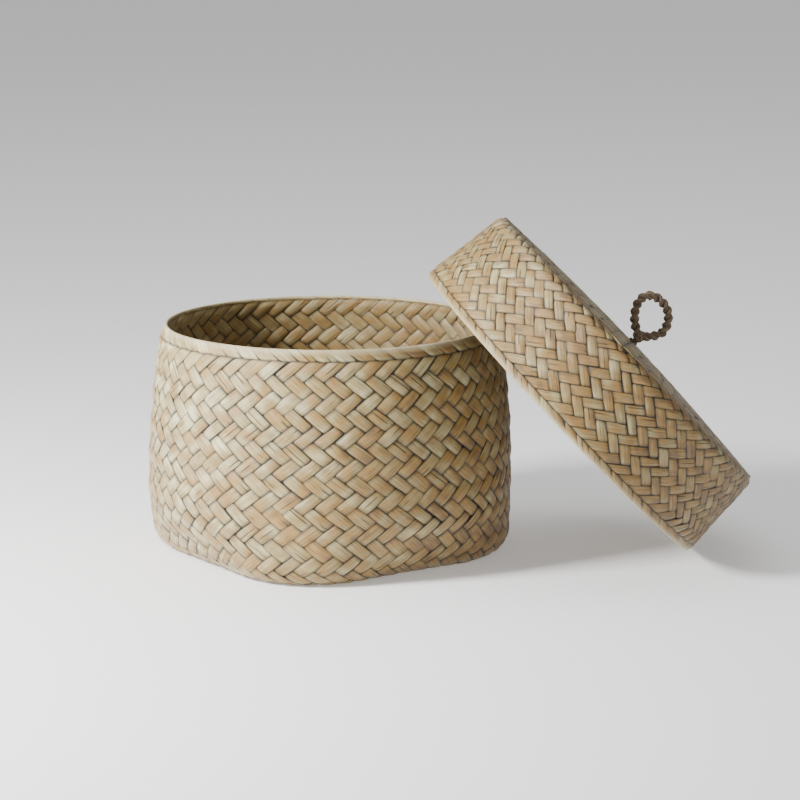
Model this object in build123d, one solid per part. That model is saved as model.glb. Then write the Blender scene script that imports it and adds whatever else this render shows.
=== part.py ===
from build123d import *
import os
from math import asin, atan2, cos, pi, radians, sin, sqrt, tan

# A lidded storage basket plaited from flat seagrass strips. The basket stands on its base,
# which is a soft-cornered square, and its wall grows into a round rim. The lid leans on the
# rim with its lowest edge on the floor. A twisted cord loop is knotted through the lid.
# Millimetres. The origin is the middle of the basket's base, on the floor; +Z is up and the
# lid leans towards +X.

# ---- plaited sheet ----
layer = 1.6             # thickness of one plaited layer
layer_gap = 0.2         # play between the outer layer and the lining
fold_height = 6.0       # depth of the edge where the strips turn back

# ---- basket ----
belly_radius = 121.5    # outer radius of the fullest part of the wall
basket_height = 156.0
rim_draw_in = 11.5      # how much narrower the round rim is than the belly, each side
base_draw_in = 19.0     # how much narrower the base is across its flats, each side
base_corner_radius = 59.0
base_corner_angle = -104.0      # direction of one corner, degrees round from +X
base_blend_height = 45.0        # height by which the square has become round
rim_turn_in = 3.5       # how late the wall turns in towards the rim, as a power
foot_rounding = 16.0    # radius where the base turns up into the wall
base_seam = 3.0         # flat strip of base that belongs to the wall, inside the foot

# ---- lid ----
lid_room = 2.1                  # play between the belly and the inside of the lid
lid_taper = 5.5                 # how much narrower the lid is at its shoulder, each side
lid_height = 66.5               # open edge to shoulder line
lid_shoulder = 7.0              # rounding between skirt and top
lid_dome = 4.0                  # rise of the top in its middle
lid_side_shift = -21.5          # how far the leaning lid stands to one side of the basket
lid_rest_turn = 45.35           # where on the lid's open edge the rim touches it, degrees up
floor_play = 0.1                # lowest edge of the lid above the floor

# ---- cord handle ----
cord_diameter = 6.4
root_stand = 1.2        # cord standing out of the lid's top before the loop starts
swing_play = 0.4        # play round anything that swings
loop_eye_extra = 1.0    # how much the joined ends of the loop stand out past the cord
knot_extra = 3.8        # how much the knot under the lid stands out past the cord
cord_hole_play = 0.2

# The loop's route, hand placed: across and up from the point that it swings about.
loop_route = [
    (-0.8, 0.8),
    (-3.6, 9.0),
    (-2.6, 21.0),
    (3.5, 27.8),
    (12.5, 26.0),
    (19.6, 17.0),
    (19.2, 6.5),
    (12.5, -0.8),
    (1.0, -0.6),
]

# ---- worked out ----
sheet = 2 * layer + layer_gap   # both layers together
wall_top = basket_height - fold_height
rim_radius = belly_radius - rim_draw_in
base_half_side = belly_radius - base_draw_in
lid_mouth_radius = belly_radius + lid_room + sheet
lid_top_radius = lid_mouth_radius - lid_taper
loop_eye_radius = cord_diameter / 2 + loop_eye_extra
knot_radius = cord_diameter / 2 + knot_extra
outline_points = 40     # points that a squarish outline is drawn through
foot_turns = (0, 25, 50, 70, 90)            # degrees round the foot, one outline at each
blend_shares = (0.62, 1.0)                  # of the height where the square has become round
wall_shares = (0.45, 0.58, 0.7, 0.79, 0.88) # of the height of the basket


def base_reach(angle):
    """Distance from the centre to the outline of the square base."""
    from_corner = abs((angle - radians(base_corner_angle) + pi / 4) % (pi / 2) - pi / 4)
    from_flat = pi / 4 - from_corner
    straight = base_half_side - base_corner_radius
    if from_flat < atan2(straight, base_half_side):
        return base_half_side / cos(from_flat)
    arc_centre = straight * sqrt(2)
    across = arc_centre * sin(from_corner)
    return arc_centre * cos(from_corner) + sqrt(base_corner_radius**2 - across**2)


def wall_reach(angle, height, inset=0.0):
    """Distance from the axis to the wall's outer face, or to a face inset from it."""
    rise = min(max(height / base_blend_height, 0.0), 1.0)
    roundness = rise * rise * (3 - 2 * rise)
    turn_in = (belly_radius - rim_radius) * (height / basket_height) ** rim_turn_in
    reach = base_reach(angle) * (1 - roundness) + (belly_radius - turn_in) * roundness
    bend = foot_rounding - inset
    below = foot_rounding - height
    if below > 0:
        reach -= bend - sqrt(max(bend**2 - below**2, 0.0))
    return reach - inset


def outline(height, reach_at):
    """Face at one height, through points at the distance that reach_at gives for an angle."""
    points = []
    for step in range(outline_points):
        angle = radians(base_corner_angle) + 2 * pi * step / outline_points
        reach = reach_at(angle)
        points.append((reach * cos(angle), reach * sin(angle), height))
    return make_face(Spline(*points, periodic=True))


def basket_form(inset):
    """Solid inside the basket's face, up to where the rim's fold begins."""
    bend = foot_rounding - inset
    heights = [foot_rounding - bend * cos(radians(turn)) for turn in foot_turns]
    heights += [base_blend_height * share for share in blend_shares]
    heights += [basket_height * share for share in wall_shares]
    sections = []
    for height in heights + [wall_top]:
        sections.append(outline(height, lambda angle: wall_reach(angle, height, inset)))
    return loft(sections)


def base_mat(inset, edge_play):
    """Flat middle of one plaited layer, drawn in at its edge by the play."""
    draw_in = foot_rounding + base_seam + edge_play
    face = outline(inset, lambda angle: base_reach(angle) - draw_in)
    return extrude(face, layer, dir=(0, 0, 1))


def basket_layer(inset):
    """Wall and base of one plaited layer of the basket."""
    shell = basket_form(inset) - basket_form(inset + layer)
    well = base_mat(inset, 0.0)
    well = Pos(0, 0, -layer) * well + well + Pos(0, 0, layer) * well
    return shell - well, base_mat(inset, layer_gap)


def folded_edge(outer_low, outer_high, inner_high, inner_low, crown):
    """Ring where the strips turn back, drawn as radius and height pairs round its section."""
    with BuildPart() as ring:
        with BuildSketch(Plane.XZ):
            with BuildLine():
                Line(outer_low, outer_high)
                ThreePointArc(outer_high, crown, inner_high)
                Line(inner_high, inner_low)
                Line(inner_low, outer_low)
            make_face()
        revolve(axis=Axis.Z)
    return ring.part


def basket_fold():
    """Folded edge round the rim of the basket."""
    low = wall_top + layer_gap
    high = basket_height - sheet / 2
    outer_low = wall_reach(0.0, low)
    outer_high = wall_reach(0.0, high)
    return folded_edge(
        (outer_low, low),
        (outer_high, high),
        (outer_high - sheet, high),
        (outer_low - sheet, low),
        (outer_high - sheet / 2, basket_height),
    )


def lid_reach(height):
    """Outer radius of the skirt of the lid at a height above its open edge."""
    share = height / (lid_height - lid_shoulder)
    return lid_mouth_radius + (lid_top_radius - lid_mouth_radius) * share


def lid_form(inset, bottom):
    """Solid under the lid's face, drawn in by the inset and cut off at the bottom height."""
    shoulder_line = lid_height - lid_shoulder
    bend = lid_shoulder - inset
    flat = lid_top_radius - lid_shoulder
    mouth = (lid_reach(bottom) - inset, bottom)
    skirt_end = (lid_top_radius - inset, shoulder_line)
    bend_middle = (flat + bend * cos(pi / 4), shoulder_line + bend * sin(pi / 4))
    top_edge = (flat, shoulder_line + bend)
    dome_middle = (flat / 2, lid_height - inset + 0.75 * lid_dome)
    centre = (0.0, lid_height - inset + lid_dome)
    with BuildPart() as form:
        with BuildSketch(Plane.XZ):
            with BuildLine():
                Line((0.0, bottom), mouth)
                Line(mouth, skirt_end)
                ThreePointArc(skirt_end, bend_middle, top_edge)
                ThreePointArc(top_edge, dome_middle, centre)
                Line(centre, (0.0, bottom))
            make_face()
        revolve(axis=Axis.Z)
    return form.part


def lid_layers(inset):
    """Skirt and top of one plaited layer of the lid, the top with its cord hole."""
    low = fold_height + layer_gap
    shell = lid_form(inset, low) - lid_form(inset + layer, low)
    split = lid_height - lid_shoulder
    big = 4 * lid_mouth_radius
    above = Pos(0, 0, split + layer_gap + big / 2) * Box(big, big, big)
    below = Pos(0, 0, split - big / 2) * Box(big, big, big)
    hole = Cylinder(cord_diameter / 2 + cord_hole_play, big)
    return shell & below, (shell & above) - hole


def lid_fold():
    """Folded edge round the open side of the lid."""
    high = fold_height
    low = sheet / 2
    outer_low = lid_reach(low)
    outer_high = lid_reach(high)
    return folded_edge(
        (outer_high, high),
        (outer_low, low),
        (outer_low - sheet, low),
        (outer_high - sheet, high),
        (outer_low - sheet / 2, 0.0),
    )


# ---- where the lid and its handle stand ----
# The lid stands on the floor and its open edge rests on the rim, which reaches into it.
rest_up = (lid_mouth_radius - sheet) * sin(radians(lid_rest_turn))
rest_across = (lid_mouth_radius - sheet) * cos(radians(lid_rest_turn))
lean = asin((basket_height - floor_play) / (lid_mouth_radius + rest_up))
rest_x = sqrt(rim_radius**2 - (lid_side_shift + rest_across) ** 2)
lid_normal = Vector(sin(lean), 0, cos(lean))
lid_centre = Vector(
    rest_x + rest_up * cos(lean), lid_side_shift, lid_mouth_radius * sin(lean) + floor_play
)
lid_place = Plane(origin=lid_centre, x_dir=(cos(lean), 0, -sin(lean)), z_dir=lid_normal)
top_outside = lid_height + lid_dome
top_inside = top_outside - sheet
swing_height = top_outside + root_stand + swing_play + loop_eye_radius
swing_point = lid_centre + lid_normal * swing_height
knot_point = lid_centre + lid_normal * (top_inside - swing_play - knot_radius)


def in_lid(shape):
    """Move a shape drawn about the lid's own axis to where the lid leans."""
    return lid_place.location * shape


def handle_root():
    """Cord where it passes up through the hole in the top of the lid."""
    length = sheet + root_stand
    return Pos(0, 0, top_inside + length / 2) * Cylinder(cord_diameter / 2, length)


def turn_radii(points):
    """Bend radius at each inner point: as large as its two runs allow."""
    radii = []
    for before, here, after in zip(points, points[1:], points[2:]):
        run_in = Vector(*here) - Vector(*before)
        run_out = Vector(*after) - Vector(*here)
        half_turn = radians(run_in.get_angle(run_out)) / 2
        radii.append(0.45 * min(run_in.length, run_out.length) / tan(half_turn))
    return radii


def handle_loop():
    """Cord loop standing up from the point that it swings about."""
    points = []
    for across, up in loop_route:
        points.append((swing_point.X + across, swing_point.Y, swing_point.Z + up))
    radii = turn_radii(points)
    path = FilletPolyline(*points, radius=radii)
    start = Plane(origin=path @ 0, z_dir=path % 0)
    tube = sweep(start * Circle(cord_diameter / 2), path=path)
    print("loop: length", round(path.length, 1), "radii", [round(radius, 1) for radius in radii])
    full_volume = pi * cord_diameter**2 / 4 * path.length
    print("tube volume", round(tube.volume), "of", round(full_volume))
    return tube + Pos(*swing_point) * Sphere(loop_eye_radius)


lining_inset = layer + layer_gap
wall_outer, base_outer = basket_layer(0.0)
wall_lining, base_lining = basket_layer(lining_inset)
skirt_outer, top_outer = lid_layers(0.0)
skirt_lining, top_lining = lid_layers(lining_inset)

nodes = {
    "basket_outer_wall": wall_outer,
    "basket_outer_base": base_outer,
    "basket_lining_wall": wall_lining,
    "basket_lining_base": base_lining,
    "basket_rim_fold": basket_fold(),
    "lid_outer_skirt": in_lid(skirt_outer),
    "lid_outer_top": in_lid(top_outer),
    "lid_lining_skirt": in_lid(skirt_lining),
    "lid_lining_top": in_lid(top_lining),
    "lid_edge_fold": in_lid(lid_fold()),
    "handle_root": in_lid(handle_root()),
    "handle_knot": Pos(*knot_point) * Sphere(knot_radius),
    "handle_loop": handle_loop(),
}

os.makedirs("parts", exist_ok=True)
for name, solid in nodes.items():
    export_step(solid, os.path.join("parts", name + ".step"))
print("swing point", swing_point, "knot", knot_point, "lid centre", lid_centre)
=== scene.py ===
import math

import bpy
import numpy as np
from mathutils import Matrix, Vector


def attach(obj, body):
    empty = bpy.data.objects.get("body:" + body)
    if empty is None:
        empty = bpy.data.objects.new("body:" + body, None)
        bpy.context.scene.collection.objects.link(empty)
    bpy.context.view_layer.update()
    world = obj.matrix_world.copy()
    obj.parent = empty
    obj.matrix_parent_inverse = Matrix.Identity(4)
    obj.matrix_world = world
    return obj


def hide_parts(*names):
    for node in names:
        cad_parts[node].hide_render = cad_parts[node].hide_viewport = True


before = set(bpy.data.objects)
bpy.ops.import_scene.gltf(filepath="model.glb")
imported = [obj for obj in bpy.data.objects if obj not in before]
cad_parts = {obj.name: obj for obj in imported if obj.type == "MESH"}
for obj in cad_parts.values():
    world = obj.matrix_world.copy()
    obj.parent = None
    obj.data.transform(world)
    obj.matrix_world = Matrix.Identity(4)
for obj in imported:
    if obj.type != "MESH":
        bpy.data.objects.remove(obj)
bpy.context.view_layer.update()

# A seagrass basket with a lid, as its maker plaits it: every strip crosses the base, runs up
# the wall at both ends, is turned back over the edge and is plaited down as the lining.
# Metres throughout. Lengths along a strip are counted in pitches, the spacing of the strips
# round the form, and heights on the wall in rows.

MM = 0.001
rng = np.random.default_rng(20)

# ---- basket ----
RIM_RADIUS = 110.0 * MM
BELLY_RADIUS = 121.5 * MM
BASKET_HEIGHT = 156.0 * MM
BASE_HALF_SIDE = 102.5 * MM
BASE_CORNER_RADIUS = 59.0 * MM
BASE_CORNER_ANGLE = math.radians(-104.0)
BASE_BLEND_HEIGHT = 45.0 * MM
RIM_TURN_IN = 3.5
FOOT_ROUNDING = 16.0 * MM

# ---- lid ----
LID_MOUTH_RADIUS = 127.0 * MM
LID_TOP_RADIUS = 121.5 * MM
LID_HEIGHT = 66.5 * MM
LID_SHOULDER = 7.0 * MM
LID_DOME = 4.0 * MM
LID_TILT = math.radians(46.5)
LID_CENTRE = Vector((149.0 * MM, -21.5 * MM, 92.2225 * MM))
LID_SHEET = 3.4 * MM        # both layers of the lid as solids, without their relief
LID_CROSS_SHARE = 0.93      # share of the lid's flat top that the crossed middle is scaled to

# ---- handle ----
CORD_DIAMETER = 6.4 * MM
CORD_TURNS = 95.0           # turns of the twist in a metre
CORD_RING = 14              # points round one ply
PLY_OUT = 0.42              # middle of a ply, out from the cord's line, in cord radii
PLY_RADIUS = 0.60           # radius of a ply, in cord radii
ROOT_STAND = 1.2 * MM       # cord standing out of the lid's top before the loop starts
SWING_PLAY = 0.4 * MM
LOOP_EYE_RADIUS = 4.2 * MM  # ball at the foot of the loop, as a solid
LOOP_JOIN_RADIUS = 4.6 * MM     # the same as wound cord
KNOT_RADIUS = 7.0 * MM      # knot under the lid, as a solid
KNOT_WOUND_RADIUS = 5.2 * MM    # the same as wound cord, clear of the lining
KNOT_CORD = 0.30            # radius of the cord in a wound knot, in cord diameters
LOOP_WANDER = 0.5 * MM      # how far the loop strays to either side of its plane
ROOT_STEP = 0.5 * MM
ROOT_STEPS = 13
ROOT_INSIDE = 1.0 * MM      # cord standing into the lid below its top
LOOP_ROUTE = [              # across and up from the point that the loop swings about, in mm
    (-0.8, 0.8),
    (-3.6, 9.0),
    (-2.6, 21.0),
    (3.5, 27.8),
    (12.5, 26.0),
    (19.6, 17.0),
    (19.2, 6.5),
    (12.5, -0.8),
    (1.0, -0.6),
]

# ---- plait ----
SHEET = 4.6 * MM            # outer layer and lining together, with their relief
LAYER_MIDDLE = 1.4 * MM     # middle of a layer, in from the face that it shows
WEAVE_LIFT = 0.62 * MM      # how far a strip rises over and dips under the others
STRIP_CROWN = 0.92 * MM     # height of a strip's rounded face
STRIP_BACK = 0.3 * MM
WIDTH_OVER = 1.09           # width of a strip where it lies on top, in pitches
WIDTH_UNDER = 0.84          # and where it is pinched underneath
DIP_SHARPNESS = 0.55        # power: lower is flatter on top with a steeper dip
FOLD_FLATTENING = 0.85      # how much of its relief a strip loses at the fold
FOLD_ROWS = 0.4             # rows over which it loses it
FOLD_WIDENING = 0.2         # how much wider it is there
SKEW_REACH = 1.33           # cross-sections turn to lie along the edge within these rows of it
SKEW_FADE = 0.7
STRAY = 0.02                # unevenness of a strip: its line in pitches,
WIDTH_UNEVEN = 0.06         # its width,
ROLL_UNEVEN = 0.6           # its roll,
CROWN_UNEVEN = 0.16         # and the height of its face
ROLL_RISE = 0.35 * MM       # rise of one side of a strip that is fully rolled
LEAST_STATION = 0.03        # stations closer than this are one, in pitches
EVEN_ROWS = 5.0             # rows by which the strips are evenly spaced round the wall
FLOOR_TURN = BASE_CORNER_ANGLE + math.pi / 4 + math.pi / 2
FOLD_STEPS = (-0.8, -0.5, -0.3, -0.18, -0.09, 0.0, 0.09, 0.18, 0.3, 0.5, 0.8)
DIP_STEPS = (-0.2, -0.07, 0.07, 0.2)
# Cross-section of a strip: across it in half widths, and up in crown heights. The last
# point is the strip's back, which a height below 0 marks.
PROFILE_ACROSS = (-1.0, -0.66, 0.0, 0.66, 1.0, 0.0)
PROFILE_HEIGHT = (0.0, 0.72, 1.0, 0.72, 0.0, -1.0)


def smooth(x):
    """Ease from 0 to 1."""
    x = np.clip(x, 0.0, 1.0)
    return x * x * (3 - 2 * x)


def corner_reach(angle, half_side, corner_radius):
    """Distance from the centre to the outline of a soft-cornered square."""
    from_corner = np.abs((angle - BASE_CORNER_ANGLE + math.pi / 4) % (math.pi / 2) - math.pi / 4)
    from_flat = math.pi / 4 - from_corner
    straight = half_side - corner_radius
    arc_centre = straight * math.sqrt(2)
    across = arc_centre * np.sin(from_corner)
    arc = arc_centre * np.cos(from_corner) + np.sqrt(np.maximum(corner_radius**2 - across**2, 0))
    flat = half_side / np.cos(from_flat)
    return np.where(from_flat < math.atan2(straight, half_side), flat, arc)


class Form:
    """A round or squarish vessel as a plaiter sees it: pitches round it and rows up it."""

    def side(self):
        """Pitches along one side of the base."""
        return self.strips / 4

    def half(self):
        """Pitches from the middle of the base to a side."""
        return self.strips / 8

    def rim_fold(self, row):
        """Depth in from the outer face, and the rise over the edge, near the fold."""
        middle = SHEET / 2
        radius = middle - LAYER_MIDDLE
        reach = radius * math.pi / 2 / self.row_length
        turn = (np.clip((row - self.rim_row) / reach, -1, 1) + 1) * math.pi / 2
        down = np.minimum(row, 2 * self.rim_row - row)
        run = np.minimum(down, self.rim_row - reach) * self.row_length
        return middle - radius * np.cos(turn), radius * np.sin(turn), np.maximum(run, 0.0)

    def ring_point(self, x, y):
        """Pitches round the edge of the base for a place on it, and how far out it lies."""
        half = self.half()
        out = np.maximum(np.maximum(np.abs(x), np.abs(y)), 1e-6)
        edge_x = x / out * half
        edge_y = y / out * half
        around = np.where(-y >= out - 1e-9, edge_x + half, 0.0)
        around = np.where(x >= out - 1e-9, edge_y + 3 * half, around)
        around = np.where(y >= out - 1e-9, 5 * half - edge_x, around)
        around = np.where((-x >= out - 1e-9) & (np.abs(y) < out), 7 * half - edge_y, around)
        return around, out / half

    def crossed_middle(self, x, y, scale):
        """The straight crossing of the strips in the middle, turned to the base's corners."""
        turned_x = (x * math.cos(FLOOR_TURN) - y * math.sin(FLOOR_TURN)) * scale
        turned_y = (x * math.sin(FLOOR_TURN) + y * math.cos(FLOOR_TURN)) * scale
        return turned_x, turned_y


class Basket(Form):
    strips = 56
    rim_row = 15.5
    facing = 1.0
    name = "basket"
    fineness = 1.0
    pitch = 2 * math.pi * BELLY_RADIUS / strips

    def __init__(self):
        self.foot_run = FOOT_ROUNDING * math.pi / 2
        length = self.foot_run + BASKET_HEIGHT - SHEET / 2 - FOOT_ROUNDING
        self.row_length = length / self.rim_row
        angles = BASE_CORNER_ANGLE + np.linspace(0, 2 * math.pi, 721)
        reach = corner_reach(angles, BASE_HALF_SIDE, BASE_CORNER_RADIUS) - FOOT_ROUNDING
        xs = reach * np.cos(angles)
        ys = reach * np.sin(angles)
        steps = np.hypot(np.diff(xs), np.diff(ys))
        self.table_run = np.concatenate([[0], np.cumsum(steps)]) / steps.sum()
        self.table_angle = angles

    def angle(self, around, row):
        """Direction of a place on the wall: even round the belly, by arc length at the base."""
        turns = np.floor(around / self.strips)
        share = around / self.strips - turns
        by_length = np.interp(share, self.table_run, self.table_angle) + turns * 2 * math.pi
        even = BASE_CORNER_ANGLE + 2 * math.pi * around / self.strips
        down = np.minimum(row, 2 * self.rim_row - row)
        share_even = smooth(down / EVEN_ROWS)
        return by_length * (1 - share_even) + even * share_even

    def wall(self, around, row):
        """A place on the wall, or past the rim row on the lining."""
        inset, rise, run = self.rim_fold(row)
        bend = np.minimum(run / FOOT_ROUNDING, math.pi / 2)
        climb = np.maximum(run - self.foot_run, 0.0)
        height = FOOT_ROUNDING - (FOOT_ROUNDING - inset) * np.cos(bend) + climb + rise
        angle = self.angle(around, row)
        roundness = smooth(height / BASE_BLEND_HEIGHT)
        turn_in = (BELLY_RADIUS - RIM_RADIUS) * (height / BASKET_HEIGHT) ** RIM_TURN_IN
        square = corner_reach(angle, BASE_HALF_SIDE, BASE_CORNER_RADIUS)
        reach = square * (1 - roundness) + (BELLY_RADIUS - turn_in) * roundness
        inner_bend = FOOT_ROUNDING - inset
        below = np.maximum(FOOT_ROUNDING - height, 0.0)
        reach = reach - inset - inner_bend + np.sqrt(np.maximum(inner_bend**2 - below**2, 0.0))
        reach = reach + self.wobble(angle, height)
        return np.stack([reach * np.cos(angle), reach * np.sin(angle), height], -1)

    def wobble(self, angle, height):
        """Hand-made unevenness of the wall, none at the base and rim."""
        share = np.sin(math.pi * np.clip(height / BASKET_HEIGHT, 0, 1))
        wave = np.sin(3 * angle + 1.3) * 0.5 + np.sin(5 * angle - 40 * height + 0.4) * 0.45
        ripple = np.sin(2 * math.pi * height / (2.0 * self.row_length) + 2.0 * np.sin(2 * angle))
        return (wave * share + 0.35 * ripple * share) * MM

    def floor(self, x, y, inner):
        """A place on the base: straight in the middle, following the outline at the edge."""
        around, out = self.ring_point(x, y)
        angle = self.angle(around, np.zeros_like(around))
        reach = corner_reach(angle, BASE_HALF_SIDE, BASE_CORNER_RADIUS) - FOOT_ROUNDING
        scale = (BASE_HALF_SIDE - FOOT_ROUNDING) / self.half()
        square_x, square_y = self.crossed_middle(x, y, scale)
        share = np.clip(out, 0, 1) ** 2
        px = square_x * (1 - share) + reach * np.cos(angle) * share
        py = square_y * (1 - share) + reach * np.sin(angle) * share
        depth = SHEET - LAYER_MIDDLE if inner else LAYER_MIDDLE
        return np.stack([px, py, np.full_like(px, depth)], -1)

    def floor_normal(self, shape, inner):
        return np.broadcast_to(np.array([0.0, 0.0, 1.0 if inner else -1.0]), shape)


class Lid(Form):
    strips = 72
    rim_row = 8.5
    facing = -1.0
    name = "lid"
    fineness = 0.82
    pitch = 2 * math.pi * LID_MOUTH_RADIUS / strips

    def __init__(self):
        self.shoulder_run = LID_SHOULDER * math.pi / 2
        self.skirt = LID_HEIGHT - LID_SHOULDER
        length = self.shoulder_run + self.skirt - SHEET / 2
        self.row_length = length / self.rim_row
        self.flat = LID_TOP_RADIUS - LID_SHOULDER

    def angle(self, around, row):
        return BASE_CORNER_ANGLE + 2 * math.pi * around / self.strips

    def wall(self, around, row):
        """A place on the skirt, or past the rim row on its lining."""
        inset, rise, run = self.rim_fold(row)
        bend = np.minimum(run / LID_SHOULDER, math.pi / 2)
        climb = np.maximum(run - self.shoulder_run, 0.0) + rise
        radius = LID_SHOULDER - inset
        height = self.skirt + radius * np.cos(bend) - climb
        flare = (LID_MOUTH_RADIUS - LID_TOP_RADIUS) * climb / self.skirt
        reach = self.flat + radius * np.sin(bend) + flare
        angle = self.angle(around, row)
        reach = reach + self.wobble(angle, height)
        return np.stack([reach * np.cos(angle), reach * np.sin(angle), height], -1)

    def wobble(self, angle, height):
        """Hand-made unevenness of the skirt, none at its edge and top."""
        share = np.sin(math.pi * np.clip(height / LID_HEIGHT, 0, 1))
        wave = np.sin(4 * angle + 0.7) * 0.35 + np.sin(7 * angle + 50 * height) * 0.25
        return wave * share * MM

    def floor(self, x, y, inner):
        """A place on the top: straight in the middle, round at the edge."""
        around, out = self.ring_point(x, y)
        angle = self.angle(around, 0.0)
        scale = self.flat * LID_CROSS_SHARE / self.half()
        square_x, square_y = self.crossed_middle(x, y, scale)
        share = np.clip(out, 0, 1) ** 2
        px = square_x * (1 - share) + self.flat * np.cos(angle) * share
        py = square_y * (1 - share) + self.flat * np.sin(angle) * share
        inset = SHEET - LAYER_MIDDLE if inner else LAYER_MIDDLE
        dome = LID_DOME * np.maximum(1 - (px**2 + py**2) / self.flat**2, 0)
        return np.stack([px, py, LID_HEIGHT - inset + dome], -1)

    def floor_normal(self, shape, inner):
        return np.broadcast_to(np.array([0.0, 0.0, -1.0 if inner else 1.0]), shape)


class Strip:
    """One strip: across the base, up both walls, over the edge and down inside."""

    def __init__(self, form, slope, line):
        self.form = form
        self.slope = slope      # +1 for x + y = line, -1 for x - y = line
        self.line = line
        half = form.half()
        if slope > 0:
            self.sides = (0, 3) if line < 0 else (1, 2)
        else:
            self.sides = (1, 0) if line > 0 else (2, 3)
        self.base_end = 2 * half - abs(line)
        self.wall_run = 4 * form.rim_row    # up the wall and down again as the lining
        self.roles = [self.rising(0, +1), self.rising(1, -1)]
        spare = [0.0, 0.0]
        for end in (0, 1):
            if self.roles[end]:
                spare[end] = self.inner_length(end)
        self.low = -self.base_end - self.wall_run - spare[1]
        self.high = self.base_end + self.wall_run + spare[0]

    def plane(self, run, across):
        """Place in the flat plait for a run along the strip and an offset across it."""
        if self.slope > 0:
            return (self.line + across + run) / 2, (self.line + across - run) / 2
        return (self.line + across + run) / 2, (run - self.line - across) / 2

    def direction(self, sign):
        """Way that the strip runs in the flat plait."""
        return (sign, -sign) if self.slope > 0 else (sign, sign)

    def rising(self, end, sign):
        """True where the strip climbs towards the right, seen from outside."""
        dx, dy = self.direction(sign)
        side = self.sides[end]
        around = (dx, dy, -dx, -dy)[side]
        up = (-dy, dx, dy, -dx)[side]
        return around * up > 0

    def on_side(self, side, x, y):
        """Pitches round and rows up for a place on one side of the flat plait."""
        half = self.form.half()
        row = (-half - y, x - half, y - half, -half - x)[side]
        around = (x + half, y + 3 * half, 5 * half - x, 7 * half - y)[side]
        return around, row

    def slant(self, end):
        """+1 where a place to the across side of the strip lies higher up the wall."""
        run = (self.base_end + self.form.rim_row) * (1 if end == 0 else -1)
        _, low = self.on_side(self.sides[end], *self.plane(run, 0.0))
        _, high = self.on_side(self.sides[end], *self.plane(run, 1.0))
        return 1.0 if high > low else -1.0

    def inner_start(self, end):
        """Side that the strip reaches the inner base on, and how far along it."""
        run = (self.base_end + self.wall_run) * (1 if end == 0 else -1)
        x, y = self.plane(run, 0.0)
        around, _ = self.on_side(self.sides[end], x, y)
        side = math.floor(around / self.form.side())
        return side, around - self.form.side() * side - self.form.half()

    def inner_length(self, end):
        """Run across the inner base."""
        _, along = self.inner_start(end)
        return 2 * (self.form.half() - along)

    def inner_plane(self, side, along, deep):
        """Place on the inner base for a run in from one side of it."""
        half = self.form.half()
        x, y = along, deep - half
        for _ in range(side % 4):
            x, y = -y, x
        return x, y

    def over(self, around_up, row):
        """True where this strip lies on top at a crossing."""
        return (int(round(2 * row)) % 4 in (0, 1)) == around_up

    def crossing_state(self, run):
        """True where the strip lies on top at the crossing at this run."""
        form = self.form
        half = form.half()
        x, y = self.plane(run, 0.0)
        end = 0 if run > 0 else 1
        side = self.sides[end]
        around, row = self.on_side(side, x, y)
        if row > 2 * form.rim_row:
            start_side, _ = self.inner_start(end)
            along = around - form.side() * start_side - half
            deep = row - 2 * form.rim_row
            x, y = along, deep - half
            ring = half - max(abs(x), abs(y))
            rising = self.sector_rising(x, y, 1, 1, -1)
            if deep <= half - abs(along):
                rising = self.roles[end]
            return self.over(rising, 2 * form.rim_row + ring)
        if row > 0:
            return self.over(self.roles[end], row)
        dx, dy = self.direction(1)
        ring = max(abs(x), abs(y)) - half
        return self.over(self.sector_rising(x, y, dx, dy, 1), ring)

    def sector_rising(self, x, y, dx, dy, outward):
        """Role of a strip in the quarter of a base that a place lies in."""
        if -y >= max(abs(x), y):
            around, up = dx, -dy
        elif x >= abs(y):
            around, up = dy, dx
        elif y >= abs(x):
            around, up = -dx, dy
        else:
            around, up = -dy, -dx
        return around * up * outward > 0

    def stations(self):
        """Places along the strip, closer together where it dips and where it folds."""
        low = math.ceil(self.low)
        high = math.floor(self.high)
        runs = []
        states = {}
        for whole in range(low, high):
            states[whole] = 1.0 if self.crossing_state(whole + 0.5) else -1.0
            runs.append(whole + 0.5)
            if whole - 1 in states and states[whole] != states[whole - 1]:
                runs += [whole + step for step in DIP_STEPS]
            else:
                runs.append(float(whole))
        for sign in (1, -1):
            edge = sign * (self.base_end + 2 * self.form.rim_row)
            runs += [edge + step for step in FOLD_STEPS]
        runs = sorted(set(runs + [self.low, self.high]))
        kept = [runs[0]]
        for run in runs[1:]:
            if run - kept[-1] > LEAST_STATION:
                kept.append(run)
        return np.array(kept), states

    def lift(self, runs, states):
        """How far over (+) or under (-) the strip lies along its length."""
        wholes = sorted(states)
        centres = np.array(wholes) + 0.5
        level = np.interp(runs, centres, [states[whole] for whole in wholes])
        return np.sign(level) * np.abs(level) ** DIP_SHARPNESS

    def wall_points(self, around, row):
        """Places on the wall and the way that each faces."""
        form = self.form
        step = 0.03
        place = form.wall(around, row)
        round_way = form.wall(around + step, row) - form.wall(around - step, row)
        up_way = form.wall(around, row + step) - form.wall(around, row - step)
        normal = np.cross(round_way, up_way) * form.facing
        length = np.linalg.norm(normal, axis=-1, keepdims=True)
        return place, normal / np.maximum(length, 1e-12)


def slow_noise(runs, spacing, size):
    """Smooth random wander along a strip."""
    knots = np.arange(runs[0] - spacing, runs[-1] + 2 * spacing, spacing)
    return np.interp(runs, knots, rng.normal(0, size, len(knots)))


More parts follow.
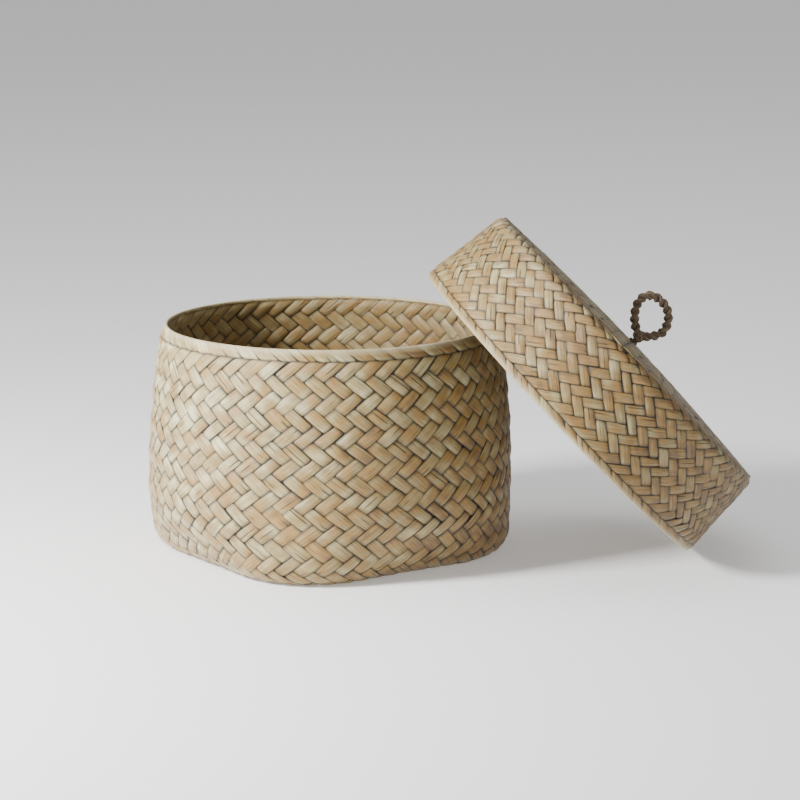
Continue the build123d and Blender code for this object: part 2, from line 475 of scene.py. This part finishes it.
def strip_mesh(strip, width):
    """Vertices, faces and the values that the finish reads, for one strip."""
    form = strip.form
    runs, states = strip.stations()
    lift = strip.lift(runs, states)
    row = (np.abs(runs) - strip.base_end) / 2
    at_fold = np.exp(-((row - form.rim_row) ** 2) / FOLD_ROWS**2)
    skew = smooth((SKEW_REACH - np.abs(row - form.rim_row)) / SKEW_FADE)
    skew = skew * np.where(runs > 0, strip.slant(0), -strip.slant(1))
    wander = slow_noise(runs, 3.0, STRAY)
    over = smooth((lift + 1) / 2)
    wide = (WIDTH_UNDER + (WIDTH_OVER - WIDTH_UNDER) * over) * width
    wide = wide * (1 + slow_noise(runs, 2.0, WIDTH_UNEVEN)) * (1 + FOLD_WIDENING * at_fold)
    roll = slow_noise(runs, 2.0, ROLL_UNEVEN) * (1 - at_fold)
    proud = 1 + slow_noise(runs, 2.0, CROWN_UNEVEN)
    crown = STRIP_CROWN * form.fineness * (1 - FOLD_FLATTENING * at_fold) * proud
    level = WEAVE_LIFT * form.fineness * lift * (1 - FOLD_FLATTENING * at_fold)
    seed = rng.random()
    tone = rng.random()
    run_metres = runs * form.pitch
    verts = []
    values = []
    for place_across, height in zip(PROFILE_ACROSS, PROFILE_HEIGHT):
        offsets = wander + 0.5 * place_across * wide
        place, normal = offset_points(strip, runs - skew * offsets, offsets)
        rise = level + crown * height
        rise = rise + place_across * roll * ROLL_RISE * over
        if height < 0:
            rise = level - STRIP_BACK
        verts.append(place + normal * rise[:, None])
        across = np.full_like(runs, place_across)
        values.append(np.stack([run_metres, across, np.full_like(runs, seed)], -1))
    count = len(runs)
    ring = len(verts)
    points = np.stack(verts, 1).reshape(-1, 3)
    plait = np.stack(values, 1).reshape(-1, 3)
    # How far onto the lining: 0 outside, 1 on the lining, where the finish paints shade, and below 0
    # at the fold, where it paints a highlight.
    lining = smooth((row - form.rim_row) * 2 - 0.4) - at_fold * (row < form.rim_row + 0.2)
    # Lift as the finish reads it for its painted shade under crossings, raised at the fold so that
    # the fold has none.
    lift = np.maximum(lift, 2 * at_fold - 1)
    tones = np.stack([np.full_like(runs, tone), lift, lining], -1)
    tones = np.repeat(tones[:, None, :], ring, 1).reshape(-1, 3)
    here = np.arange(count - 1)[:, None] * ring
    start = (here + np.arange(ring)).reshape(-1)
    following = (here + (np.arange(ring) + 1) % ring).reshape(-1)
    quads = np.stack([start, following, following + ring, start + ring], -1)
    return points, quads, plait, tones, ring, count


def offset_points(strip, runs, offsets):
    """Places along a strip at its own sideways offset at each station."""
    form = strip.form
    x, y = strip.plane(runs, offsets)
    place = form.floor(x, y, False)
    normal = np.array(form.floor_normal(place.shape, False))
    for end in (0, 1):
        at_end = runs > 0 if end == 0 else runs <= 0
        around, row = strip.on_side(strip.sides[end], x, y)
        on_wall = at_end & (row > 0) & (row <= 2 * form.rim_row)
        place[on_wall], normal[on_wall] = strip.wall_points(around[on_wall], row[on_wall])
        inside = at_end & (row > 2 * form.rim_row)
        if inside.any():
            start_side, _ = strip.inner_start(end)
            along = around[inside] - form.side() * start_side - form.half()
            deep = row[inside] - 2 * form.rim_row
            inner_x, inner_y = strip.inner_plane(start_side, along, deep)
            place[inside] = form.floor(inner_x, inner_y, True)
            normal[inside] = form.floor_normal(place[inside].shape, True)
    return place, normal


def plait_piece(name, form, slope, sign, to_world):
    """One quarter of a form's strips as one mesh piece."""
    points, quads, caps, plait, tones = [], [], [], [], []
    base = 0
    lines = np.arange(0.5, 2 * form.half(), 1.0) * sign
    for line in lines:
        width = rng.uniform(0.92, 1.06)
        verts, faces, values, tone, ring, count = strip_mesh(Strip(form, slope, line), width)
        if form.facing < 0:
            faces = faces[:, ::-1]
        points.append(verts)
        quads.append(faces + base)
        caps.append([base + k for k in range(ring)])
        caps.append([base + (count - 1) * ring + k for k in reversed(range(ring))])
        plait.append(values)
        tones.append(tone)
        base += len(verts)
    points = np.concatenate(points)
    quads = np.concatenate(quads)
    mesh = bpy.data.meshes.new(name)
    mesh.from_pydata(points.tolist(), [], quads.tolist() + caps)
    mesh.transform(to_world)
    for label, data in (("plait", plait), ("tone", tones)):
        layer = mesh.attributes.new(label, "FLOAT_VECTOR", "POINT")
        layer.data.foreach_set("vector", np.concatenate(data).astype(np.float32).ravel())
    mesh.polygons.foreach_set("use_smooth", [True] * len(mesh.polygons))
    mesh.set_sharp_from_angle(angle=math.radians(70))
    mesh.update()
    piece = bpy.data.objects.new(name, mesh)
    bpy.context.collection.objects.link(piece)
    return piece


BASKET_NODES = [
    "basket_outer_wall",
    "basket_outer_base",
    "basket_lining_wall",
    "basket_lining_base",
    "basket_rim_fold",
]
LID_NODES = [
    "lid_outer_skirt",
    "lid_outer_top",
    "lid_lining_skirt",
    "lid_lining_top",
    "lid_edge_fold",
]
lid_to_world = Matrix.Translation(LID_CENTRE) @ Matrix.Rotation(LID_TILT, 4, "Y")


def plaited_body(form, body, nodes, to_world, material):
    """All the strips of the basket or the lid, in four pieces."""
    for slope, slope_name in ((1, "left"), (-1, "right")):
        for sign, sign_name in ((-1, "first"), (1, "second")):
            name = f"{form.name}_{slope_name}_strips_{sign_name}"
            piece = plait_piece(name, form, slope, sign, to_world)
            piece.data.materials.append(material)
            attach(piece, body)
            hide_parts(*nodes)


class Nodes:
    """Adds shader nodes to a tree in few words."""

    def __init__(self, tree):
        self.tree = tree

    def add(self, kind, inputs=(), **settings):
        node = self.tree.nodes.new(kind)
        for key, value in settings.items():
            setattr(node, key, value)
        for key, value in dict(inputs).items():
            self.feed(node.inputs[key], value)
        return node

    def feed(self, socket, value):
        if isinstance(value, bpy.types.NodeSocket):
            self.tree.links.new(value, socket)
        else:
            socket.default_value = value

    def math(self, operation, a, b=0.0):
        node = self.add("ShaderNodeMath", {0: a, 1: b}, operation=operation)
        return node.outputs[0]

    def spread(self, value, low, high, to_low=0.0, to_high=1.0):
        inputs = {"Value": value, "From Min": low, "From Max": high}
        inputs.update({"To Min": to_low, "To Max": to_high})
        return self.add("ShaderNodeMapRange", inputs, clamp=True).outputs["Result"]

    def vector(self, x, y, z):
        return self.add("ShaderNodeCombineXYZ", {0: x, 1: y, 2: z}).outputs[0]

    def noise(self, vector, scale, detail=2.0, roughness=0.5):
        inputs = {"Vector": vector, "Scale": scale, "Detail": detail, "Roughness": roughness}
        return self.add("ShaderNodeTexNoise", inputs).outputs["Fac"]

    def grain(self, along, across, seed, detail=2.0, roughness=0.5):
        """Noise drawn out along a strip: along and across are pairs of value and scale."""
        drawn = self.vector(self.math("MULTIPLY", *along), self.math("MULTIPLY", *across), seed)
        return self.noise(drawn, 1.0, detail, roughness)

    def sum_of(self, shares):
        """Values added up, each times its share."""
        total = None
        for value, share in shares:
            part = self.math("MULTIPLY", value, share)
            total = part if total is None else self.math("ADD", total, part)
        return total

    def mix(self, share, a, b, blend="MIX"):
        node = self.add("ShaderNodeMix", {0: share, 6: a, 7: b}, data_type="RGBA", blend_type=blend)
        return node.outputs[2]

    def ramp(self, value, stops):
        node = self.add("ShaderNodeValToRGB", {0: value})
        ramp = node.color_ramp
        while len(ramp.elements) < len(stops):
            ramp.elements.new(0.5)
        for element, (place, color) in zip(ramp.elements, stops):
            element.position = place
            element.color = (*color, 1)
        return node.outputs[0]


def group_of(name, inputs, outputs):
    """An empty node group with its sockets."""
    tree = bpy.data.node_groups.new(name, "ShaderNodeTree")
    for label, kind in inputs:
        tree.interface.new_socket(label, in_out="INPUT", socket_type="NodeSocket" + kind)
    for label, kind in outputs:
        tree.interface.new_socket(label, in_out="OUTPUT", socket_type="NodeSocket" + kind)
    return tree, Nodes(tree), tree.nodes.new("NodeGroupInput"), tree.nodes.new("NodeGroupOutput")


def grass_group():
    """Colour, roughness and relief of dried seagrass strips; the colour carries painted shade and a
    painted highlight.
    """
    tree, n, given, result = group_of(
        "seagrass_strip",
        [("Plait", "Vector"), ("Tone", "Vector"), ("Place", "Vector")],
        [("Color", "Color"), ("Roughness", "Float"), ("Height", "Float")],
    )
    plait = n.add("ShaderNodeSeparateXYZ", {0: given.outputs["Plait"]})
    tone = n.add("ShaderNodeSeparateXYZ", {0: given.outputs["Tone"]})
    place = n.add("ShaderNodeSeparateXYZ", {0: given.outputs["Place"]})
    lid_side, _, height = place.outputs
    run, across, seed = plait.outputs
    strip_tone, lift, lining = tone.outputs
    shift = n.math("MULTIPLY", seed, 90.0)
    fibres = n.grain((run, 42.0), (across, 8.0), shift, 4.0, 0.7)
    streaks = n.grain((run, 35.0), (across, 2.2), shift)
    patches = n.grain((run, 55.0), (across, 0.3), shift, 1.0)
    weather = n.noise(given.outputs["Place"], 13.0, 2.0)
    # Browner: by strip and in patches, and towards the floor; darker towards the lid's side, a
    # painted shade as the window light falls off.
    value = n.sum_of(
        [
            (strip_tone, 0.2),
            (n.spread(patches, 0.3, 0.7), 0.55),
            (n.spread(streaks, 0.3, 0.7), 0.16),
            (n.spread(weather, 0.3, 0.7), 0.14),
            (n.spread(lid_side, -0.10, 0.14), 0.2),
            (n.spread(height, 0.15, 0.0), 0.10),
        ]
    )
    color = n.ramp(
        value,
        [
            (0.14, (0.60, 0.58, 0.40)),
            (0.36, (0.46, 0.41, 0.235)),
            (0.54, (0.37, 0.30, 0.15)),
            (0.70, (0.31, 0.225, 0.095)),
            (0.86, (0.33, 0.20, 0.062)),
            (1.0, (0.22, 0.14, 0.06)),
        ],
    )
    fibres_and_painted_side_shade = n.spread(fibres, 0.3, 0.7, 0.5, 1.42)
    # Painted light and shade: fibres lighter away from the lid's side and darker towards it, as the
    # window light falls off.
    fibres_and_painted_side_shade = n.math("MULTIPLY", fibres_and_painted_side_shade, n.spread(lid_side, -0.08, 0.27, 1.15, 0.72))
    color = n.mix(1.0, color, n.vector(fibres_and_painted_side_shade, fibres_and_painted_side_shade, fibres_and_painted_side_shade), "MULTIPLY")
    frayed = n.noise(n.vector(n.math("MULTIPLY", run, 28.0), 3.0, shift), 1.0, 1.0)
    middle = n.math("ABSOLUTE", n.math("SUBTRACT", across, n.spread(seed, 0.0, 1.0, -0.45, 0.45)))
    split = n.math("MULTIPLY", n.spread(middle, 0.03, 0.13, 1.0, 0.0), n.spread(frayed, 0.58, 0.64))
    # Painted shade: darker towards each strip's edges, in the creases between strips.
    edge = n.spread(n.math("ABSOLUTE", across), 0.74, 0.94, 1.0, 0.06)
    # Painted shade where a strip dips under the crossing strips, read from its lift.
    depth = n.spread(lift, -0.05, 0.72, 0.05, 1.0)
    painted_shade_and_splits = n.math("MULTIPLY", edge, depth)
    # The painted shade, then darkened along the splits in a strip.
    painted_shade_and_splits = n.math("MULTIPLY", painted_shade_and_splits, n.spread(split, 0.0, 1.0, 1.0, 0.3))
    color = n.mix(1.0, color, n.vector(painted_shade_and_splits, painted_shade_and_splits, painted_shade_and_splits), "MULTIPLY")
    # Painted shade on the lining, inside the basket and the lid.
    inside = n.spread(lining, 0.0, 1.0, 0.0, 0.3)
    color = n.mix(inside, color, (0.22, 0.165, 0.09, 1))
    # Painted highlight along the fold over the edge.
    color = n.mix(n.spread(lining, -0.3, -1.0, 0.0, 0.55), color, (0.60, 0.55, 0.40, 1))
    n.feed(result.inputs["Color"], color)
    n.feed(result.inputs["Roughness"], n.spread(fibres, 0.3, 0.7, 0.56, 0.36))
    relief = n.math("ADD", fibres, n.math("MULTIPLY", streaks, 0.6))
    n.feed(result.inputs["Height"], n.math("SUBTRACT", relief, split))
    return tree


GRASS = grass_group()


def grass_material(name, warmth, brightness):
    """Seagrass with its own wash of colour."""
    material = bpy.data.materials.new(name)
    material.use_nodes = True
    n = Nodes(material.node_tree)
    shader = material.node_tree.nodes["Principled BSDF"]
    plait = n.add("ShaderNodeAttribute", attribute_name="plait")
    tone = n.add("ShaderNodeAttribute", attribute_name="tone")
    place = n.add("ShaderNodeTexCoord")
    group = n.add("ShaderNodeGroup", node_tree=GRASS)
    n.feed(group.inputs["Plait"], plait.outputs["Vector"])
    n.feed(group.inputs["Tone"], tone.outputs["Vector"])
    n.feed(group.inputs["Place"], place.outputs["Object"])
    wash = (*(brightness * part for part in warmth), 1)
    tint = n.mix(1.0, group.outputs["Color"], wash, "MULTIPLY")
    relief = {"Height": group.outputs["Height"], "Strength": 0.9, "Distance": 0.45 * MM}
    bump = n.add("ShaderNodeBump", relief)
    n.feed(shader.inputs["Base Color"], tint)
    n.feed(shader.inputs["Roughness"], group.outputs["Roughness"])
    n.feed(shader.inputs["Normal"], bump.outputs["Normal"])
    shader.inputs["Specular IOR Level"].default_value = 0.5
    shader.inputs["Sheen Weight"].default_value = 0.12
    shader.inputs["Sheen Roughness"].default_value = 0.4
    return material


def cord_material(name):
    """Rough two-ply plant-fibre cord."""
    material = bpy.data.materials.new(name)
    material.use_nodes = True
    n = Nodes(material.node_tree)
    shader = material.node_tree.nodes["Principled BSDF"]
    plait = n.add("ShaderNodeAttribute", attribute_name="plait")
    place = n.add("ShaderNodeSeparateXYZ", {0: plait.outputs["Vector"]})
    run, around, seed = place.outputs
    fibres = n.grain((run, 260.0), (around, 2.4), seed, 4.0, 0.7)
    spots = n.grain((run, 120.0), (around, 0.5), seed)
    value = n.sum_of([(fibres, 0.6), (spots, 0.4)])
    color = n.ramp(
        value,
        [(0.36, (0.07, 0.048, 0.030)), (0.5, (0.20, 0.145, 0.095)), (0.64, (0.38, 0.29, 0.20))],
    )
    bump = n.add("ShaderNodeBump", {"Height": fibres, "Strength": 0.9, "Distance": 0.4 * MM})
    n.feed(shader.inputs["Base Color"], color)
    n.feed(shader.inputs["Normal"], bump.outputs["Normal"])
    shader.inputs["Roughness"].default_value = 0.8
    shader.inputs["Specular IOR Level"].default_value = 0.25
    return material


def floor_material(name):
    """Plain pale studio floor."""
    material = bpy.data.materials.new(name)
    material.use_nodes = True
    shader = material.node_tree.nodes["Principled BSDF"]
    shader.inputs["Base Color"].default_value = (0.93, 0.93, 0.93, 1)
    shader.inputs["Roughness"].default_value = 0.7
    shader.inputs["Specular IOR Level"].default_value = 0.2
    shader.inputs["Emission Color"].default_value = (1, 1, 1, 1)
    shader.inputs["Emission Strength"].default_value = 0.28
    return material


seagrass = grass_material("seagrass", (1.0, 0.965, 0.88), 0.93)
seagrass_lid = grass_material("seagrass_lid", (1.0, 0.945, 0.83), 1.02)
handle_cord = cord_material("handle_cord")
plaited_body(Basket(), "basket", BASKET_NODES, Matrix.Identity(4), seagrass)
plaited_body(Lid(), "lid", LID_NODES, lid_to_world, seagrass_lid)

# ---- handle ----
lid_axis = Vector((math.sin(LID_TILT), 0, math.cos(LID_TILT)))
top_outside = LID_HEIGHT + LID_DOME
top_inside = top_outside - LID_SHEET
swing_point = LID_CENTRE + lid_axis * (top_outside + ROOT_STAND + SWING_PLAY + LOOP_EYE_RADIUS)
knot_point = LID_CENTRE + lid_axis * (top_inside - SWING_PLAY - KNOT_RADIUS)


def smooth_line(points, steps):
    """Even points along a smooth curve through a few route points."""
    data = bpy.data.curves.new("route", "CURVE")
    data.dimensions = "3D"
    data.resolution_u = 24
    spline = data.splines.new("NURBS")
    spline.points.add(len(points) - 1)
    for point, place in zip(spline.points, points):
        point.co = (*place, 1)
    spline.order_u = 3
    spline.use_endpoint_u = True
    holder = bpy.data.objects.new("route", data)
    bpy.context.collection.objects.link(holder)
    mesh = bpy.data.meshes.new_from_object(holder)
    line = np.array([vertex.co[:] for vertex in mesh.vertices])
    bpy.data.objects.remove(holder)
    bpy.data.curves.remove(data)
    bpy.data.meshes.remove(mesh)
    runs = np.concatenate([[0], np.cumsum(np.linalg.norm(np.diff(line, axis=0), axis=1))])
    even = np.linspace(0, runs[-1], steps)
    return np.stack([np.interp(even, runs, line[:, k]) for k in range(3)], -1), even


def twisted_cord(name, line, runs, radius=CORD_DIAMETER / 2):
    """Two plies laid round one another along a line, as one mesh."""
    tangents = np.gradient(line, axis=0)
    tangents /= np.linalg.norm(tangents, axis=1, keepdims=True)
    side = np.cross(tangents[0], (0.31, 0.92, 0.2))
    sides = []
    for tangent in tangents:
        side = side - tangent * np.dot(side, tangent)
        side = side / np.linalg.norm(side)
        sides.append(side)
    sides = np.array(sides)
    ups = np.cross(tangents, sides)
    verts, faces, plait = [], [], []
    ring = CORD_RING
    for ply in (0, 1):
        turn = 2 * math.pi * (runs * CORD_TURNS + ply / 2)
        centre_out = radius * PLY_OUT
        ply_radius = radius * PLY_RADIUS * (1 + 0.05 * np.sin(runs * 900 + ply * 2))
        out = np.cos(turn)[:, None] * sides + np.sin(turn)[:, None] * ups
        first = sum(len(block) for block in verts)
        block = []
        for step in range(ring):
            around = turn + 2 * math.pi * step / ring
            lump = 1 + 0.06 * math.sin(step * 2.3) + 0.05 * np.sin(runs * 1400 + step * 1.9)
            spoke = np.cos(around)[:, None] * sides + np.sin(around)[:, None] * ups
            block.append(line + out * centre_out + spoke * (ply_radius * lump)[:, None])
        block = np.stack(block, 1).reshape(-1, 3)
        verts.append(block)
        for row in range(len(line) - 1):
            for step in range(ring):
                a = first + row * ring + step
                b = first + row * ring + (step + 1) % ring
                faces.append((a, b, b + ring, a + ring))
        faces.append([first + step for step in reversed(range(ring))])
        faces.append([first + (len(line) - 1) * ring + step for step in range(ring)])
        values = np.zeros((len(line), ring, 3))
        values[:, :, 0] = runs[:, None]
        values[:, :, 1] = np.abs(np.arange(ring) - ring / 2)[None, :]
        values[:, :, 2] = ply * 7.0
        plait.append(values.reshape(-1, 3))
    mesh = bpy.data.meshes.new(name)
    mesh.from_pydata(np.concatenate(verts).tolist(), [], faces)
    layer = mesh.attributes.new("plait", "FLOAT_VECTOR", "POINT")
    layer.data.foreach_set("vector", np.concatenate(plait).astype(np.float32).ravel())
    mesh.polygons.foreach_set("use_smooth", [True] * len(mesh.polygons))
    mesh.materials.append(handle_cord)
    piece = bpy.data.objects.new(name, mesh)
    bpy.context.collection.objects.link(piece)
    return piece


route = [swing_point + Vector((across * MM, 0, up * MM)) for across, up in LOOP_ROUTE]
route = [point + Vector((0, LOOP_WANDER * math.sin(k * 1.7), 0)) for k, point in enumerate(route)]
loop_line, loop_runs = smooth_line(route, 150)
loop = twisted_cord("cord_loop", loop_line, loop_runs)
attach(loop, "loop")
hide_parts("handle_loop")

root_runs = np.arange(ROOT_STEPS) * ROOT_STEP
root_line = np.array([LID_CENTRE + lid_axis * (top_inside - ROOT_INSIDE + run) for run in root_runs])
root = twisted_cord("cord_root", root_line, root_runs)
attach(root, "lid")
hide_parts("handle_root")


def wound_knot(name, centre, size, axis):
    """A cord wound round itself into a ball."""
    side = axis.orthogonal().normalized()
    up = axis.cross(side)
    steps = 420
    line = []
    for step in range(steps):
        share = step / (steps - 1)
        turn = 2 * math.pi * 5.0 * share
        tilt = math.pi * (0.5 + 0.42 * math.sin(2 * math.pi * 1.5 * share))
        reach = size - CORD_DIAMETER * KNOT_CORD
        spot = side * math.cos(turn) * math.sin(tilt) + up * math.sin(turn) * math.sin(tilt)
        line.append(centre + (spot + axis * math.cos(tilt)) * reach)
    line = np.array(line)
    runs = np.concatenate([[0], np.cumsum(np.linalg.norm(np.diff(line, axis=0), axis=1))])
    return twisted_cord(name, line, runs, CORD_DIAMETER * KNOT_CORD)


loop_join = wound_knot("cord_loop_join", swing_point, LOOP_JOIN_RADIUS, lid_axis)
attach(loop_join, "loop")
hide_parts("handle_loop")

knot = wound_knot("cord_knot", knot_point, KNOT_WOUND_RADIUS, lid_axis)
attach(knot, "knot")
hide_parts("handle_knot")

# ---- camera ----
CAMERA_AZIMUTH = math.radians(-3.8)
CAMERA_ELEVATION = math.radians(11.1)
CAMERA_DISTANCE = 2.008
CAMERA_AIM = Vector((0.0468, -0.0031, 0.1000))
camera_data = bpy.data.cameras.new("camera")
camera_data.lens = 135.2
camera_data.sensor_width = 36.0
camera = bpy.data.objects.new("camera", camera_data)
bpy.context.collection.objects.link(camera)
out = Vector(
    (
        math.sin(CAMERA_AZIMUTH) * math.cos(CAMERA_ELEVATION),
        -math.cos(CAMERA_AZIMUTH) * math.cos(CAMERA_ELEVATION),
        math.sin(CAMERA_ELEVATION),
    )
)
camera.location = CAMERA_AIM + out * CAMERA_DISTANCE
camera.rotation_euler = (-out).to_track_quat("-Z", "Y").to_euler()
bpy.context.scene.camera = camera

# ---- floor, light ----
floor_mesh = bpy.data.meshes.new("floor")
floor_mesh.from_pydata([(-6, -6, 0), (6, -6, 0), (6, 6, 0), (-6, 6, 0)], [], [(0, 1, 2, 3)])
floor = bpy.data.objects.new("floor", floor_mesh)
bpy.context.collection.objects.link(floor)
floor_mesh.materials.append(floor_material("floor_paper"))


def soft_light(name, place, aim, size, power):
    """White square light, its side in metres and its power in watts."""
    data = bpy.data.lights.new(name, "AREA")
    data.size = size
    data.energy = power
    light = bpy.data.objects.new(name, data)
    bpy.context.collection.objects.link(light)
    light.location = place
    light.rotation_euler = (Vector(aim) - Vector(place)).to_track_quat("-Z", "Y").to_euler()


soft_light("window_light", (-0.8, -0.42, 0.62), (0.02, 0, 0.12), 0.26, 31)
soft_light("overhead_light", (-0.3, 0.6, 2.6), (0.1, 0.2, 0.0), 2.4, 24)
soft_light("fill_light", (0.2, -2.4, 0.9), (0.05, 0, 0.1), 1.2, 6)
world = bpy.data.worlds.new("studio")
world.use_nodes = True
world.node_tree.nodes["Background"].inputs["Color"].default_value = (1, 1, 1, 1)
world.node_tree.nodes["Background"].inputs["Strength"].default_value = 0.3
bpy.context.scene.world = world
